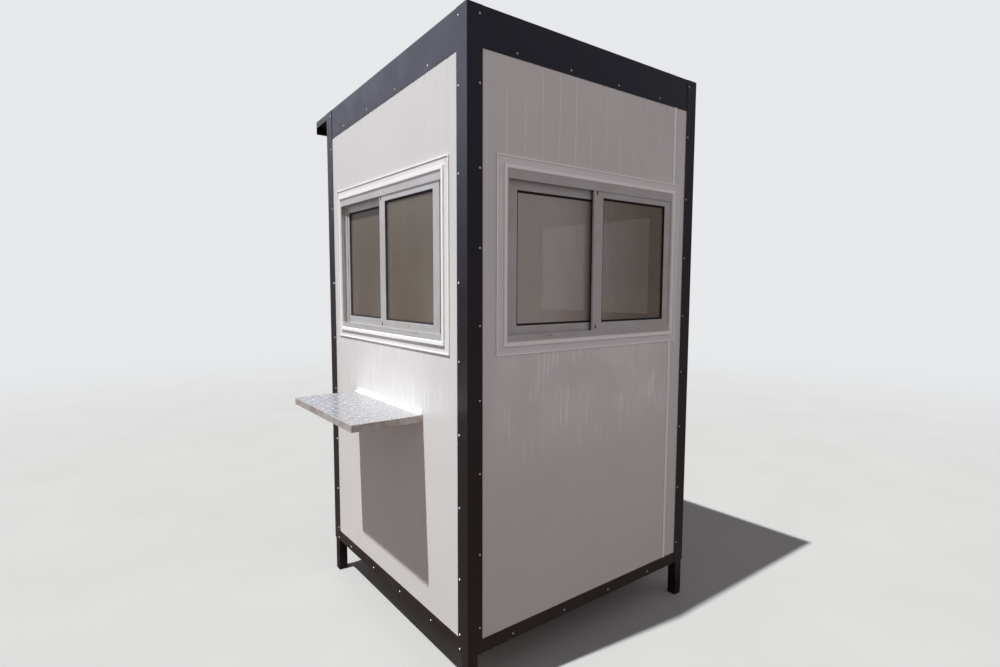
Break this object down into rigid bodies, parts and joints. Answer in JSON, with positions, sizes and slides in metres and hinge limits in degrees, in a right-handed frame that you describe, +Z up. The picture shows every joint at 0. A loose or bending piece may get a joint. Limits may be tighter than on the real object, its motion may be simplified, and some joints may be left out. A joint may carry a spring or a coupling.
{
  "type": "security guard booth",
  "caption": "Square one-person guard booth on short legs, with a lean-to roof, sliding windows, a closed door and an outside counter shelf.",
  "frame": {"origin": "on the ground, under the middle of the overall box", "axes": "+Z up, +X to the high side of the roof, -Y towards the counter shelf"},
  "size_m": [1.346, 1.48, 2.31],
  "materials": {
    "frame_paint": "semi-gloss navy black paint on folded steel and tube",
    "wall_panel": "pre-painted warm white steel skin with fine upright ribs",
    "white_trim": "satin white paint on folded sheet",
    "roof_sheet": "pre-painted ribbed steel sheet",
    "aluminium": "mill finish, lightly brushed",
    "tread_plate": "bright plate with raised tread bars",
    "handle_metal": "satin",
    "latch_black": "moulded black",
    "tinted_glass": "bronze tinted, slightly reflective",
    "floor_board": "sealed board"
  },
  "bodies": {
    "root": {"corner_post_front_right": "frame_paint", "corner_flashing_front_right": "frame_paint", "corner_post_front_left": "frame_paint", "corner_flashing_front_left": "frame_paint", "corner_post_back_right": "frame_paint", "corner_flashing_back_right": "frame_paint", "corner_post_back_left": "frame_paint", "corner_flashing_back_left": "frame_paint", "base_cross_tubes": "frame_paint", "base_side_tubes": "frame_paint", "floor_joists": "frame_paint", "bottom_trims": "frame_paint", "top_sloped_tubes": "frame_paint", "top_level_tubes": "frame_paint", "fascia_front": "frame_paint", "fascia_back": "frame_paint", "fascia_right": "frame_paint", "fascia_left": "frame_paint", "eave_flashing": "frame_paint", "floor_deck": "floor_board", "roof_panel": "roof_sheet", "front_wall": "wall_panel", "back_wall": "wall_panel", "right_wall_panel": "wall_panel", "right_wall_filler": "wall_panel", "left_wall_front": "wall_panel", "left_wall_back": "wall_panel", "left_wall_over_door": "wall_panel", "door_leaf_panel": "wall_panel", "right_wall_joint_strip": "white_trim", "front_window_frame": "aluminium", "front_window_sashes": "aluminium", "front_window_panes": "tinted_glass", "front_window_trim": "white_trim", "right_window_frame": "aluminium", "right_window_sashes": "aluminium", "right_window_panes": "tinted_glass", "right_window_trim": "white_trim", "back_window_frame": "aluminium", "back_window_sashes": "aluminium", "back_window_panes": "tinted_glass", "back_window_trim": "white_trim", "window_latches": "latch_black", "door_frame": "aluminium", "door_leaf_edging": "aluminium", "door_hinges": "aluminium", "door_handle": "handle_metal", "counter_shelf": "tread_plate", "shelf_upstand": "white_trim"}
  },
  "joints": []
}
